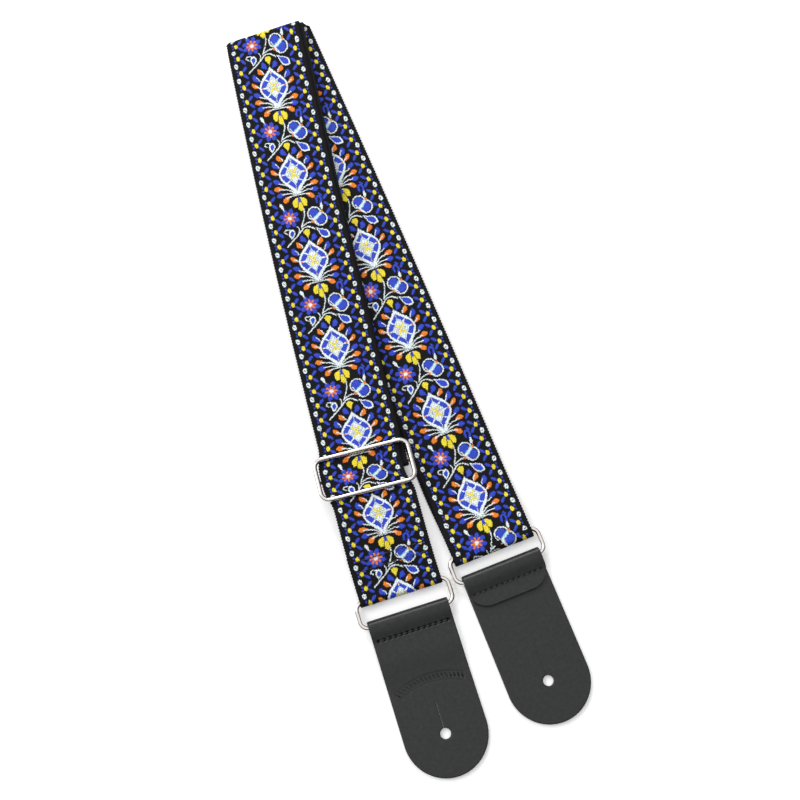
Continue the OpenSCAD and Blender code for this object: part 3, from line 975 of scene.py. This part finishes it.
def make_front_leg():
    """Hem, loop round the ring and the long upper run, in one piece."""
    run = leg_path(FRONT_BAR, front_heading, FRONT_LEN, front_low, slider_sway, ROW_STEP, front_law)
    hem = hem_profile(BAR_Z - BORE_R - WEB_T, front_low)
    start = hem + loop_profile(BAR_Z, RING_MID_R)[1:]
    start_repeat = run.repeat[0] + (arc_lengths(start) - arc_lengths(start)[-1]) / REPEAT
    run.side = lean_end(run.side, FRONT_LEN - np.linspace(0, FRONT_LEN, len(run.side)))
    front = place_path(start, FRONT_FRAME, start_repeat).join(run)
    length = HEM_LEN + RING_MID_R * math.pi + FRONT_LEN
    nodes = ("webbing_front_run", "webbing_front_loop")
    piece = web("web_front", front, length, "folded", nodes, clear_frames=(FRONT_FRAME,))
    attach(piece, "front_leg")
    return run


def make_rear_upper():
    """Loop round the rear ring and the rear leg's upper layer, from the ring to the fold."""
    length = REAR_LEN - FOLD_STUB
    back = leg_path(REAR_BAR, rear_heading, length, return_low, zero, ROW_STEP, return_law)
    loop = loop_profile(BAR_Z, RING_MID_R, REAR_SLACK)
    arc = arc_lengths(loop)
    loop_repeat = back.repeat[0] + (arc - arc[-1]) / REPEAT
    looped = place_path(loop, REAR_FRAME, loop_repeat).join(back)
    nodes = ("webbing_return_run", "webbing_rear_loop")
    piece = web("web_return", looped, REAR_LEN + arc[-1], "folded", nodes, clear_frames=(REAR_FRAME,))
    ride_feed(piece)
    return loop_repeat[0]


def make_rear_lower(run, loop_repeat):
    """Outer half turn at the fold, then the rear leg's lower layer back to the ring."""
    lower = leg_path(REAR_BAR, rear_heading, REAR_LEN, rear_low, rear_offset, LOWER_ROW_STEP, zero)
    top = (run.points[-1], run.side[-1])
    low = (lower.points[-1], lower.side[-1])
    low_repeat = run.repeat[-1] + math.pi * (top[0][2] - low[0][2]) / 2 / REPEAT
    outer, arc = turn_path(top, low, run.repeat[-1], low_repeat)
    piece = web("web_fold_outer", outer, arc, "folded", ("webbing_fold_outer",))
    blend_fold(piece)
    # The lower layer's repeats are stretched a little to meet the loop's round the ring
    wanted = loop_repeat - low_repeat
    turns = round(REAR_LEN / REPEAT - wanted) + wanted
    lower.repeat = low_repeat + turns * (1 - np.linspace(0, 1, len(lower.points)))
    piece = web("web_rear", lower, REAR_LEN, "laid", ("webbing_rear_run",),
                pattern_side=-1, columns=84, clear_frames=(REAR_FRAME,))
    ride_feed(piece)


def under_line(slider):
    """Line and across vectors of the layer that runs below the front leg, from slider to fold."""
    s = np.linspace(SLIDER_AT + SEWN_LEN, FRONT_LEN, UNDER_ROWS)
    line = centre_line(FRONT_BAR, front_heading, s)
    u = (s - s[0]) / (FRONT_LEN - s[0])
    side = across(front_heading(s))
    begin = np.array([slider[0], slider[1], 0]) + SEWN_LEN * forward(slider[2])
    ease = (1 - smooth(u * UNDER_EASE))[:, None]
    line = line + (begin - line[0]) * ease
    line = line + side * (mix(UNDER_OFFSET_SLIDER, UNDER_OFFSET_FOLD, u)[:, None] - SLIDER_SHIFT * ease)
    line[:, 2] = UNDER_Z + WEB_T / 2
    side = mix(side, across(slider[2]), ease)
    side /= np.linalg.norm(side, axis=1)[:, None]
    return s, line, lean_end(side, FRONT_LEN - s)


def make_under(slider):
    """Inner half turn, then the layer that runs back below the front leg to the slider."""
    s, line, side = under_line(slider)
    stub = leg_path(REAR_BAR, rear_heading, REAR_LEN, return_low, zero, FOLD_STUB / 4, return_law,
                    REAR_LEN - FOLD_STUB)
    stub.out = -stub.out
    low = (stub.points[-1], stub.side[-1])
    top = (line[-1], side[-1])
    fold_repeat = stub.repeat[-1] + math.pi * (top[0][2] - low[0][2]) / 2 / REPEAT
    up = np.tile(np.array([0, 0, 1.0]), (len(line), 1))
    under = Path(line, side, up, fold_repeat + (FRONT_LEN - s) / REPEAT)
    inner, arc = turn_path(top, low, fold_repeat, stub.repeat[-1])
    piece = web("web_fold_inner", stub.join(inner), arc + FOLD_STUB, "folded", ("webbing_fold_inner",),
                pattern_side=-1)
    blend_fold(piece)
    length = FRONT_LEN - SLIDER_AT - SEWN_LEN
    piece = web("web_under", under, length, "stretched", ("webbing_under_run",),
                pattern_side=-1, columns=72)
    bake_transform(piece)
    return under.repeat[0]


def make_slider_loop(slider, repeat):
    """Hem round the slider's bar, sewn below the layer that leads to it."""
    bar_loop = loop_profile(SLIDER_BAR_Z, SLIDER_BORE_R + WEB_T / 2)
    hem = hem_profile(SLIDER_BAR_Z - SLIDER_BORE_R - WEB_T, under_low)
    sewn = [(y, UNDER_Z + WEB_T / 2) for y in np.linspace(0, SEWN_LEN, 36)]
    profile = hem + bar_loop[1:] + sewn[1:]
    along = arc_lengths(profile)
    looped = place_path(profile, slider, repeat + (along[-1] - along) / REPEAT)
    looped.points = looped.points + looped.side * LOOP_SHIFT
    piece = web("web_slider_loop", looped, along[-1], "folded", ("webbing_slider_loop",),
                pattern_side=-1, columns=84)
    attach(piece, "slider")


def make_webbing(slider):
    run = make_front_leg()
    loop_repeat = make_rear_upper()
    make_rear_lower(run, loop_repeat)
    under_repeat = make_under(slider)
    make_slider_loop(slider, under_repeat)


def slider_place():
    x, y = centre_line(FRONT_BAR, front_heading, np.array([SLIDER_AT]))[0, :2]
    shift = SLIDER_SHIFT * across(front_heading(SLIDER_AT))
    heading = float(front_heading(SLIDER_AT + SLIDER_TRAVEL_MID))
    return (x + float(shift[0]), y + float(shift[1]), heading)


def ride_feed(piece):
    """Bakes the placement of one of the doubled leg's layers into its mesh."""
    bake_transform(piece)


def blend_fold(piece):
    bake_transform(piece)


# ---------------------------------------------------------------- wire hardware
WIRE_SIDES = 28
CORNER_POINTS = 14
SIDE_POINTS = 24
WIRE_SHRINK = 0.004
BAR_SHRINK = 0.005
WELD_GROOVE = 0.05
WELD_REACH = 0.45
RING_WELD_X = 4.0


def tube(points, radius, closed, sides=WIRE_SIDES, first=None):
    """Vertices and faces of a round tube along points; its section keeps its turn along the path.

    "first" is the section's own X direction, for a path that stays in one upright plane.
    """
    pts = np.asarray(points, float)
    count = len(pts)
    if closed:
        tangent = np.roll(pts, -1, 0) - np.roll(pts, 1, 0)
    else:
        tangent = np.gradient(pts, axis=0)
    tangent /= np.linalg.norm(tangent, axis=1)[:, None]
    if first is None:
        up = np.array([0, 0, 1.0]) if abs(tangent[:, 2]).max() < 0.8 else np.array([0, 1.0, 0])
        first = np.cross(tangent, up)
        first /= np.linalg.norm(first, axis=1)[:, None]
    else:
        first = np.tile(np.array(first), (count, 1))
    second = np.cross(first, tangent)
    a = np.linspace(0, 2 * math.pi, sides, endpoint=False)
    rad = np.broadcast_to(np.asarray(radius, float), (count,))
    ring = first[:, None, :] * np.cos(a)[None, :, None] + second[:, None, :] * np.sin(a)[None, :, None]
    verts = (pts[:, None, :] + ring * rad[:, None, None]).reshape(-1, 3)
    if closed:
        faces = grid_faces(count + 1, sides, True) % (count * sides)
        return verts, faces.tolist()
    return verts, grid_faces(count, sides, True).tolist() + end_caps(count, sides)


def rounded_rectangle(width, length, corner_r):
    """Centre line of a wire frame, as points round its corners and along its sides."""
    half_w = width / 2 - corner_r
    half_l = length / 2 - corner_r
    pts = []
    corners = ((half_w, half_l, 90), (half_w, -half_l, 0),
               (-half_w, -half_l, -90), (-half_w, half_l, -180))
    for cx, cy, first in corners:
        for t in np.linspace(first, first - 90, CORNER_POINTS):
            a = math.radians(t)
            pts.append((cx + corner_r * math.cos(a), cy + corner_r * math.sin(a)))
    pts = np.array(pts)
    closed = np.vstack([pts[-1:], pts])
    dense = []
    for a, b in zip(closed[:-1], closed[1:]):
        steps = SIDE_POINTS if np.hypot(*(b - a)) > 2.5 else 1
        for t in range(1, steps + 1):
            dense.append(a + (b - a) * t / steps)
    return np.array(dense)


def wire_frame(name, node, body, width, length, corner_r, centre, place, z, weld_at):
    """Bent wire rectangle with the shallow groove of its butt weld."""
    line = rounded_rectangle(width, length, corner_r)
    flat = np.concatenate([line + np.array(centre), np.full((len(line), 1), z)], 1)
    distance = np.hypot(line[:, 0] - weld_at[0], line[:, 1] - weld_at[1])
    radius = WIRE_R * (1 - WIRE_SHRINK - WELD_GROOVE * np.exp(-(distance / WELD_REACH) ** 2))
    verts, faces = tube(to_world(flat, place), radius, True)
    stand_for(build_mesh(name, verts, faces, [NICKEL]), node, body)


def make_rings():
    for name, place in (("front_ring", FRONT_FRAME), ("rear_ring", REAR_FRAME)):
        wire_frame(name + "_wire", name, name, RING_IN_W + 2 * WIRE_R, RING_PITCH, RING_CORNER_R,
                   (0, -RING_PITCH / 2), place, BAR_Z, (RING_WELD_X, -RING_PITCH / 2))


def make_slider(slider):
    """The slider's frame, and its middle bar with both ends bent up to the frame."""
    width = SLIDER_IN_W + 2 * WIRE_R
    wire_frame("slider_wire", "slider_frame", "slider", width, SLIDER_PITCH, SLIDER_CORNER_R,
               (0, 0), slider, FRAME_Z, (0.0, SLIDER_PITCH / 2))
    half = width / 2
    bend = SLIDER_BEND * SLIDER_BAR_R
    line = [(half, FRAME_Z - WIRE_R * 0.8)]
    line += [(half, z) for z in np.linspace(FRAME_Z - WIRE_R, SLIDER_BAR_Z + bend + 0.2, 4)]
    for t in np.linspace(0, -90, 9):
        a = math.radians(t)
        line.append((half - bend + bend * math.cos(a), SLIDER_BAR_Z + bend + bend * math.sin(a)))
    right = np.array(line)
    xs = np.linspace(half - bend, bend - half, 40)[1:-1]
    middle = np.stack([xs, np.full(len(xs), SLIDER_BAR_Z)], -1)
    line = np.vstack([right, middle, right[::-1] * np.array([-1, 1])])
    flat = np.stack([line[:, 0], np.zeros(len(line)), line[:, 1]], -1)
    verts, faces = tube(flat, SLIDER_BAR_R * (1 - BAR_SHRINK), False, first=(0, 1.0, 0))
    bar = build_mesh("slider_bar_wire", to_world(verts, slider), faces, [NICKEL])
    stand_for(bar, "slider_bar", "slider")


# ---------------------------------------------------------------- leather tabs
EDGE_SOFT = 0.7
EDGE_WORN = 0.55
SLIT_FRONT = 0.16
SLIT_REAR = 0.08
# The pressed border: its middle radius, centre and half angle, then its lines and slanted bars
STAMP_R = 46.0
STAMP_CENTRE = -83.5
STAMP_HALF_ANGLE = 27.0
STAMP_DEPTH = 0.5
LINE_OFF = 2.4
LINE_W = 0.32
BARS_PITCH = 3.0
BAR_HALF_W = 0.42
BAR_HALF_LEN = 1.75
BAR_SLANT = 0.55
# Offsets from an edge, closer together where the leather's edge is rounded
EDGE_STEPS = (0, 0.08, 0.2, 0.4, 0.7)
TAB_STEP = 0.55


def wrap_low(u):
    return mix(BORE_R + BAR_Z, LEATHER_T, smooth(u / REST_AT))


def over_flap_low(u):
    return mix(wrap_low(u), 0, smooth((u - FLAP_LEN - FLAP_LEAD) / DROP_LEN))


class Strip:
    """Middle line of a tab's leather in (y, z): flap end, round the ring's bar, then the main sheet."""

    def __init__(self, main_low, flap_low):
        mid_r = BORE_R + LEATHER_T / 2
        flap = [(-u, flap_low(u) + LEATHER_T / 2) for u in np.linspace(FLAP_LEN, 0, 60)]
        sign = 1 if flap[-1][1] < BAR_Z else -1
        turn = []
        for t in np.radians(np.linspace(-90, 90, 24)[1:-1]):
            turn.append((mid_r * math.cos(t), BAR_Z + sign * mid_r * math.sin(t)))
        reach = TAB_REACH + TAB_END_R + 1
        main = [(-u, main_low(u) + LEATHER_T / 2) for u in np.linspace(0, reach, 240)]
        self.pts = np.array(flap + turn + main)
        self.length = arc_lengths(self.pts)
        self.bend_starts = self.length[len(flap) - 1]
        first = len(flap) + len(turn)
        self.main_starts = self.length[first]
        self.hole_at = np.interp(TAB_REACH, -self.pts[first:, 0], self.length[first:])

    def half_width(self, t):
        share = np.clip((t - self.main_starts) / (self.hole_at - self.main_starts), 0, 1)
        return mix(TAB_W / 2, TAB_END_R, share)

    def at(self, t, values):
        return np.interp(t, self.length, values)

    def normal(self, t):
        tangent_y, tangent_z = np.gradient(self.pts, self.length, axis=0).T
        size = np.hypot(tangent_y, tangent_z)
        ny = self.at(t, -tangent_z / size)
        nz = self.at(t, tangent_y / size)
        size = np.hypot(ny, nz)
        return ny / size, nz / size


def near_edges(half):
    """Columns from one edge to the other, closer together at the rounded edges."""
    inner = half - 1.1
    count = int(round(2 * inner / TAB_STEP))
    middle = list(np.linspace(-inner, inner, count + 1))
    ends = [half - d for d in reversed(EDGE_STEPS)]
    return np.array([d - half for d in EDGE_STEPS] + middle + ends) / half


def tab_grid(strip):
    """Grid of (x, distance along the strip) that follows the flap's and the round end's outlines."""
    a = near_edges(TAB_END_R)
    rows_x = []
    rows_t = []
    corner = FLAP_CORNER_R
    for q in np.radians(np.linspace(90, 0, 26)):
        rows_x.append(a * (TAB_W / 2 - corner + corner * math.cos(q)))
        rows_t.append(np.full(len(a), corner - corner * math.sin(q)))
    for t in np.arange(corner + 0.5, strip.hole_at - 0.2, 0.5):
        rows_x.append(a * strip.half_width(t))
        rows_t.append(np.full(len(a), t))
    edge = TAB_END_R - np.array(EDGE_STEPS[::-1])
    for share in np.concatenate([np.arange(0, TAB_END_R - 1.2, TAB_STEP), edge]) / TAB_END_R:
        rows_x.append(TAB_END_R * a * np.sqrt(1 - share ** 2 / 2))
        rows_t.append(strip.hole_at + TAB_END_R * share * np.sqrt(1 - a ** 2 / 2))
    return np.array(rows_x), np.array(rows_t)


def edge_distance(x, t, strip):
    """Distance from the strip's outline, in the flat strip."""
    side = strip.half_width(t) - np.abs(x)
    cap = TAB_END_R - np.hypot(x, np.maximum(t - strip.hole_at, 0))
    corner = FLAP_CORNER_R
    cx = np.maximum(np.abs(x) - (TAB_W / 2 - corner), 0)
    flap = corner - np.hypot(cx, np.maximum(corner - t, 0))
    inside = np.where(t > strip.hole_at, cap, side)
    return np.where(t < corner, np.minimum(flap, t + FAR * (cx > 0)), inside)


def stitch_xs(width):
    count = int((width - 2 * STITCH_MARGIN) // STITCH_PITCH)
    return (np.arange(count + 1) - count / 2) * STITCH_PITCH


def bell(distance, reach):
    return np.exp(-(distance / reach) ** 2)


def stitch_pits(x, y, radius, depth):
    """The row of pits that the seam's stitches pull into the leather."""
    total = np.zeros_like(x)
    near = np.abs(y + SEAM_AT) < 3 * radius
    for sx in stitch_xs(TAB_W):
        part = np.exp(-(((x[near] - sx) ** 2 + (y[near] + SEAM_AT) ** 2) / radius ** 2) ** 2)
        total[near] = np.maximum(total[near], part)
    return -depth * total


def stamped_arc(x, y):
    """Generic border pressed in the leather: two thin arcs with short slanted bars between them."""
    out = np.hypot(x, y - STAMP_CENTRE) - STAMP_R
    angle = np.degrees(np.arctan2(x, y - STAMP_CENTRE))
    span = smooth(STAMP_HALF_ANGLE - np.abs(angle))
    lines = 0.5 * bell(out - LINE_OFF, LINE_W) + 0.5 * bell(out + LINE_OFF, LINE_W)
    slant = (angle + out * BAR_SLANT) % BARS_PITCH - BARS_PITCH / 2
    bars = bell(slant, BAR_HALF_W) * smooth((BAR_HALF_LEN - np.abs(out)) / 0.4)
    return -STAMP_DEPTH * np.maximum(lines, bars) * span


def rim_faces(rows, columns):
    """Quads round the outline that join the upper grid to the lower one."""
    count = rows * columns
    rim = list(range(columns))
    rim += [r * columns + columns - 1 for r in range(1, rows)]
    rim += [(rows - 1) * columns + k for k in range(columns - 2, -1, -1)]
    rim += [r * columns for r in range(rows - 2, 0, -1)]
    return [[p, q, q + count, p + count] for p, q in zip(rim, rim[1:] + rim[:1])]


def make_tab(name, node, body, place, front):
    strip = Strip(over_flap_low, zero) if front else Strip(zero, wrap_low)
    x, t = tab_grid(strip)
    rows, columns = x.shape
    y = strip.at(t, strip.pts[:, 0])
    z = strip.at(t, strip.pts[:, 1])
    ny, nz = strip.normal(t)
    outward = -1 if front else 1
    d = edge_distance(x, t, strip)
    round_off = EDGE_SOFT * (1 - np.sqrt(np.maximum(1 - (1 - np.clip(d / EDGE_SOFT, 0, 1)) ** 2, 0)))
    on_main = t > strip.main_starts
    visible = on_main | (t < strip.bend_starts)
    pits = stitch_pits(x, y, *((0.85, 1.25) if front else (0.6, 0.6)))
    groove = -0.1 * bell(y + SEAM_AT, 0.75) * (np.abs(x) < TAB_W / 2 - STITCH_MARGIN + 1.5)
    # The leather sinks a little round the button hole and along the slit
    hole_sink = 0.35 * bell(np.hypot(x, y + TAB_REACH) - HOLE_R, 0.55)
    half_cut = (SLIT_LEN + HOLE_R) / 2
    slit_d = np.hypot(x, np.maximum(np.abs(y + TAB_REACH - half_cut) - half_cut, 0))
    slit_sink = (0.28 if front else 0.06) * bell(slit_d, 0.5)
    sink = np.maximum(hole_sink, slit_sink) * on_main
    stamp = stamped_arc(x, y) * on_main if front else np.zeros_like(x)
    half_t = LEATHER_T / 2 - round_off

    def lifted(h):
        return np.stack([x, y + outward * ny * h, z + outward * nz * h], -1).reshape(-1, 3)

    upper = lifted(half_t + np.minimum(pits, groove) * visible - sink + stamp)
    local = np.concatenate([upper, lifted(sink - half_t)])
    local[:, 1] -= RING_PITCH
    verts = to_world(clear_of_bar(local, -RING_PITCH), place)
    quads = grid_faces(rows, columns, False)
    faces = quads.tolist() + (quads[:, ::-1] + rows * columns).tolist() + rim_faces(rows, columns)
    piece = build_mesh(name, verts, faces, [LEATHER], sharp_angle=50)
    worn = np.tile((1 - np.clip(d / EDGE_WORN, 0, 1)).ravel() ** 1.5, 2)
    add_attribute(piece.data, "edge", "FLOAT", worn)
    # Painted shade: how deep each point of the upper face sits in a stitch pit or a pressed groove. The
    # leather darkens its colour by this; the lower face gets none.
    pit_shade = np.clip(-(pits * visible) / 0.5 - stamp / 0.4, 0, 1).ravel()
    add_attribute(piece.data, "pit_shade", "FLOAT", np.concatenate([pit_shade, np.zeros_like(pit_shade)]))
    cut_button_hole(piece, place, SLIT_FRONT if front else SLIT_REAR)
    stand_for(piece, node, body)


def cut_away(piece, cutter_bm, place, local_y):
    """Subtracts a cutter, drawn about its own centre, at a distance down the tab."""
    at = to_world(np.array([[0, local_y, 0.0]]), place)[0]
    bmesh.ops.translate(cutter_bm, verts=cutter_bm.verts, vec=tuple(at * MM))
    mesh = bpy.data.meshes.new("cutter")
    cutter_bm.to_mesh(mesh)
    cutter_bm.free()
    cutter = bpy.data.objects.new("cutter", mesh)
    link(cutter)
    step = piece.modifiers.new("cut", "BOOLEAN")
    step.operation = "DIFFERENCE"
    step.solver = "EXACT"
    step.object = cutter
    bpy.context.view_layer.objects.active = piece
    bpy.ops.object.modifier_apply(modifier=step.name)
    bpy.data.objects.remove(cutter)


def cut_button_hole(piece, place, slit_w):
    """Cuts the round hole and the slit that lets a strap button's head through."""
    depth = 30 * MM
    hole_y = -RING_PITCH - TAB_REACH
    hole = bmesh.new()
    bmesh.ops.create_cone(hole, cap_ends=True, segments=64, radius1=HOLE_R * MM, radius2=HOLE_R * MM,
                          depth=depth)
    cut_away(piece, hole, place, hole_y)
    reach = SLIT_LEN + HOLE_R
    slit = bmesh.new()
    bmesh.ops.create_cube(slit, size=1.0)
    bmesh.ops.scale(slit, verts=slit.verts, vec=(slit_w * MM, reach * MM, depth))
    turn = Matrix.Rotation(math.radians(-place[2]), 3, "Z")
    bmesh.ops.rotate(slit, verts=slit.verts, matrix=turn)
    cut_away(piece, slit, place, hole_y + reach / 2)
    piece.data.shade_smooth()
    piece.data.set_sharp_from_angle(angle=math.radians(50))


# ---------------------------------------------------------------- stitching
THREAD_R = 0.34
THREAD_SIDES = 10
STITCH_POINTS = 9
STITCH_GAP = 0.25
STITCH_DIVE = 0.55
STITCH_ARCH = 0.34


def stitch(x0, x1, y, z, up):
    """One stitch: its ends dive into the material and its middle stands just proud."""
    t = np.linspace(0, 1, STITCH_POINTS)
    x = mix(x0 + STITCH_GAP, x1 - STITCH_GAP, t)
    h = up * ((STITCH_DIVE + STITCH_ARCH) * np.sin(math.pi * t) ** 0.5 - STITCH_DIVE)
    return np.stack([x, np.full(len(t), y), z + h], -1)


def stitch_row(name, node, body, place, width, rows, shift=0.0):
    """Rows of separate stitches on both faces. Each row is (distance up the leg, lower z, upper z)."""
    verts = []
    faces = []
    twist = []
    xs = stitch_xs(width)
    spans = list(zip(xs[:-1], xs[1:]))
    around = np.linspace(0, 2 * math.pi, THREAD_SIDES, endpoint=False)
    turn = np.tile(around, STITCH_POINTS)
    for y, low, high in rows:
        for z, up, (x0, x1) in [(z, up, span) for z, up in ((low, -1), (high, 1)) for span in spans]:
            line = stitch(x0, x1, y, z, up)
            line[:, 0] += shift
            v, f = tube(line, THREAD_R, False, sides=THREAD_SIDES)
            base = len(verts) * len(v)
            faces += [[k + base for k in face] for face in f]
            verts.append(v)
            along = np.repeat(np.linspace(0, (x1 - x0) * MM, STITCH_POINTS), THREAD_SIDES)
            twist.append(np.stack([along, turn, np.zeros(len(v))], -1))
    piece = build_mesh(name, to_world(np.concatenate(verts), place), faces, [THREAD])
    add_attribute(piece.data, "cloth", "FLOAT_VECTOR", np.concatenate(twist))
    stand_for(piece, node, body)


def make_stitching(slider):
    top = float(wrap_low(SEAM_AT)) + LEATHER_T
    seam = [(-RING_PITCH - SEAM_AT, 0.22, top - 0.3)]
    stitch_row("front_tab_thread", "front_tab_stitching", "front_tab", FRONT_FRAME, TAB_W, seam)
    stitch_row("rear_tab_thread", "rear_tab_stitching", "rear_tab", REAR_FRAME, TAB_W, seam)
    rows = []
    for s in HEM_ROWS:
        low = float(front_low(s))
        rows.append((s, low - HEM_GAP - WEB_T + 0.1, low + WEB_T - 0.15))
    stitch_row("front_hem_thread", "front_hem_stitching", "front_leg", FRONT_FRAME, WEB_W, rows)
    rows = [(s, UNDER_Z - HEM_GAP - WEB_T + 0.35, UNDER_Z + WEB_T - 0.4) for s in HEM_ROWS]
    stitch_row("slider_hem_thread", "slider_hem_stitching", "slider", slider, WEB_W, rows, LOOP_SHIFT)


# ---------------------------------------------------------------- build
WEB_FACE = webbing_face()
WEB_BACK = webbing_back()
NICKEL = nickel()
LEATHER = leather()
THREAD = thread()

make_camera()
make_world()
make_floor(floor_paper())
area_light("key", (-0.75, 0.7, 1.0), (0.0, 0.22, 0.0), 0.8, 6.0)
area_light("strip", (0.15, 1.3, 0.75), (0.03, 0.2, 0.0), 0.5, 5.5)
bpy.context.scene.view_settings.view_transform = "Standard"

slider_frame = slider_place()
make_webbing(slider_frame)
make_rings()
make_slider(slider_frame)
make_tab("front_tab_leather", "front_tab", "front_tab", FRONT_FRAME, True)
make_tab("rear_tab_leather", "rear_tab", "rear_tab", REAR_FRAME, False)
make_stitching(slider_frame)
